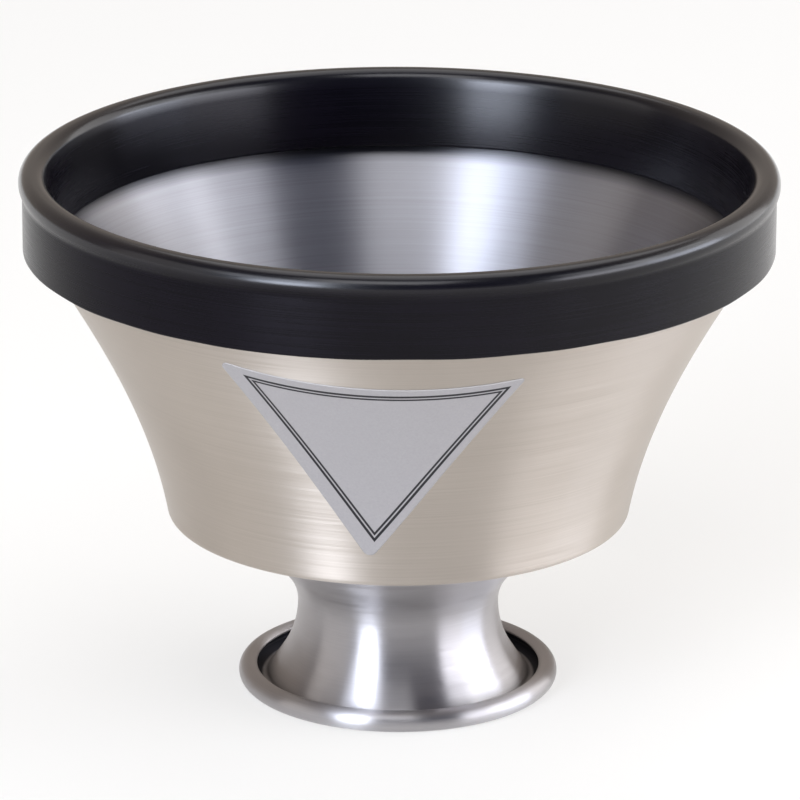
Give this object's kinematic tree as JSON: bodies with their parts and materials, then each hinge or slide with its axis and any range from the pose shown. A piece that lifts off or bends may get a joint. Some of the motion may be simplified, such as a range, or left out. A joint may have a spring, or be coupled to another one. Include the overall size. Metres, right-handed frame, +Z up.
{
  "type": "trumpet plunger mute",
  "caption": "Flared aluminium bowl with a black rubber rim ring and a spun spool handle, held by the handle over a trumpet's bell to mute it.",
  "frame": {"origin": "centre of the circle that the handle's rolled base stands on", "axes": "+Z up along the turning axis, from the handle to the open bowl; -Y is the front, where the blank foil label is"},
  "size_m": [0.127, 0.127, 0.0912],
  "materials": {
    "satin_aluminium": "satin, spun, with fine lines round the axis",
    "polished_aluminium": "softly polished, spun",
    "black_rubber": "moulded, semi-gloss",
    "plated_screw": "zinc plated",
    "plated_washer": "zinc plated",
    "spring_steel": "oiled spring steel",
    "plated_nut": "zinc plated",
    "foil_label": "matt foil, blank"
  },
  "bodies": {
    "root": {"bowl": "satin_aluminium", "rim_ring": "black_rubber", "handle": "polished_aluminium", "clamp_screw": "plated_screw", "bowl_washer": "plated_washer", "handle_washer": "plated_washer", "lock_washer": "spring_steel", "hex_nut": "plated_nut"}
  },
  "joints": []
}
